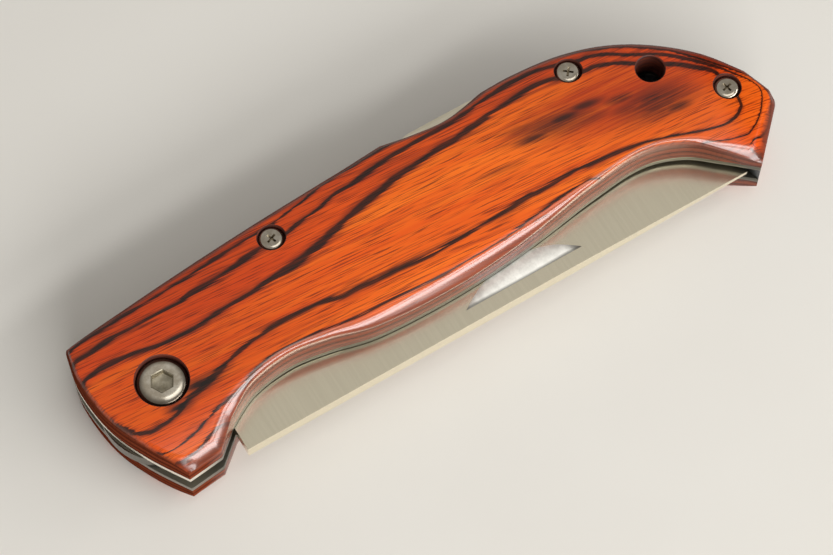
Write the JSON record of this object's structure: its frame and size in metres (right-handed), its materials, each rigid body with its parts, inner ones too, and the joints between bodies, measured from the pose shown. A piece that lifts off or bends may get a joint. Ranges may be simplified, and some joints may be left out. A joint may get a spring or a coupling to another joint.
{
  "type": "folding pocket knife",
  "caption": "Folding lock-back pocket knife, closed: laminated wood scales on steel liners, straight-spined blade with a nail nick, and a lock bar in the back.",
  "frame": {"origin": "on the flat of the lower scale's outer face, half way along the handle and on the ridge line of its crown", "axes": "+X along the handle from the blade pivot to the butt, +Y towards the handle's back, +Z through the thickness from the lower scale to the upper one"},
  "size_m": [0.1138, 0.0334, 0.0152],
  "materials": {
    "laminated_wood": "polished dyed veneer layers, orange with thin dark seams",
    "liner_steel": "brushed",
    "blade_steel": "fine satin, half mirror",
    "lock_steel": "satin",
    "spring_steel": "satin",
    "dark_spacer": "dark blue-grey, satin",
    "bronze": "satin",
    "screw_steel": "polished, slightly dull"
  },
  "bodies": {
    "handle": {"upper_scale": "laminated_wood", "lower_scale": "laminated_wood", "upper_liner": "liner_steel", "lower_liner": "liner_steel", "back_spacer": "dark_spacer", "lock_spring": "spring_steel", "upper_washer": "bronze", "lower_washer": "bronze", "pivot_barrel": "screw_steel", "pivot_screw_upper": "screw_steel", "pivot_screw_lower": "screw_steel", "rocker_pin": "screw_steel", "rocker_pin_screw_upper": "screw_steel", "rocker_pin_screw_lower": "screw_steel", "front_spacer_pin": "screw_steel", "front_spacer_pin_screw_upper": "screw_steel", "front_spacer_pin_screw_lower": "screw_steel", "rear_spacer_pin": "screw_steel", "rear_spacer_pin_screw_upper": "screw_steel", "rear_spacer_pin_screw_lower": "screw_steel"},
    "blade": {"blade": "blade_steel"},
    "lock_bar": {"lock_bar": "lock_steel"}
  },
  "joints": [
    {"name": "blade_pivot", "type": "hinge", "parent": "handle", "child": "blade", "pos_m": [-0.0463, -0.0015, 0.0076], "axis": [0, 0, -1], "range_deg": [0, 180]},
    {"name": "lock_bar_rocker", "type": "hinge", "parent": "handle", "child": "lock_bar", "pos_m": [-0.0213, 0.0102, 0.0076], "axis": [0, 0, 1], "range_deg": [-1.2, 1.7], "stiffness_Nm_per_rad": 0.6, "deforming": ["lock_spring"]}
  ]
}
